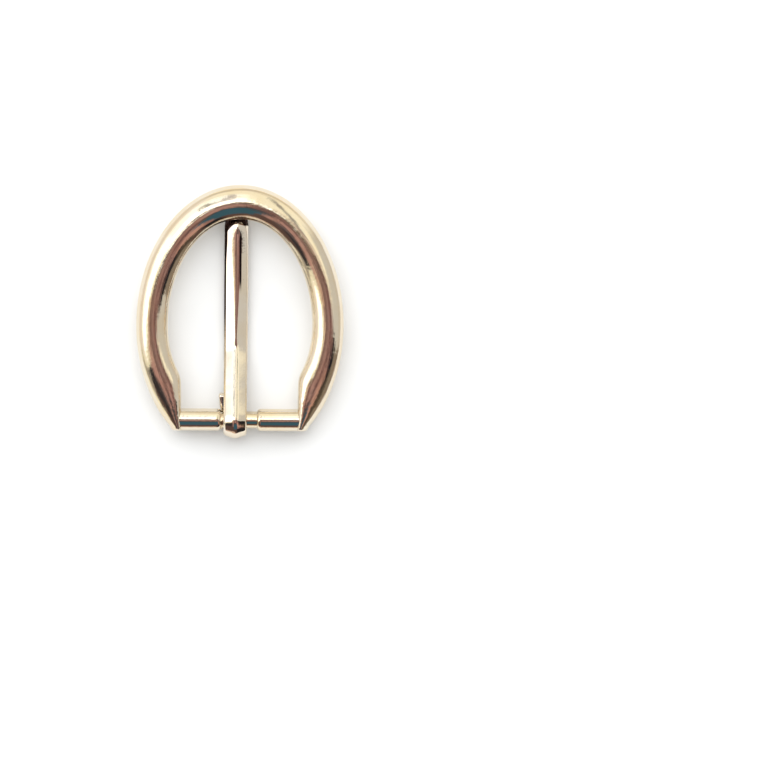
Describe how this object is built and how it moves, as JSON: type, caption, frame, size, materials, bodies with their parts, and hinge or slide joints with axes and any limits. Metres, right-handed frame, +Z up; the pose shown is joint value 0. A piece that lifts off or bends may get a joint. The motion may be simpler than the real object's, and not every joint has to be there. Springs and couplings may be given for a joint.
{
  "type": "shoe buckle",
  "caption": "Small oval shoe buckle for a narrow strap: a rounded cast frame with a straight bar across it, and a ridged tongue that turns on the bar's narrow neck.",
  "frame": {"origin": "middle of the buckle's footprint, on the surface it lies on", "axes": "+X along the strap bar, +Y from the bar towards the arc that the tongue's tip points to, +Z up out of the buckle's front"},
  "size_m": [0.0212, 0.0258, 0.0037],
  "materials": {
    "frame_gold": "polished, pale gold plated",
    "tongue_gold": "polished, pale gold plated"
  },
  "bodies": {
    "frame": {"frame": "frame_gold"},
    "tongue": {"tongue": "tongue_gold"}
  },
  "joints": [
    {"name": "tongue_hinge", "type": "hinge", "parent": "frame", "child": "tongue", "pos_m": [0, -0.01099, 0.00154], "axis": [-1, 0, 0], "range_deg": [0, 350]}
  ]
}
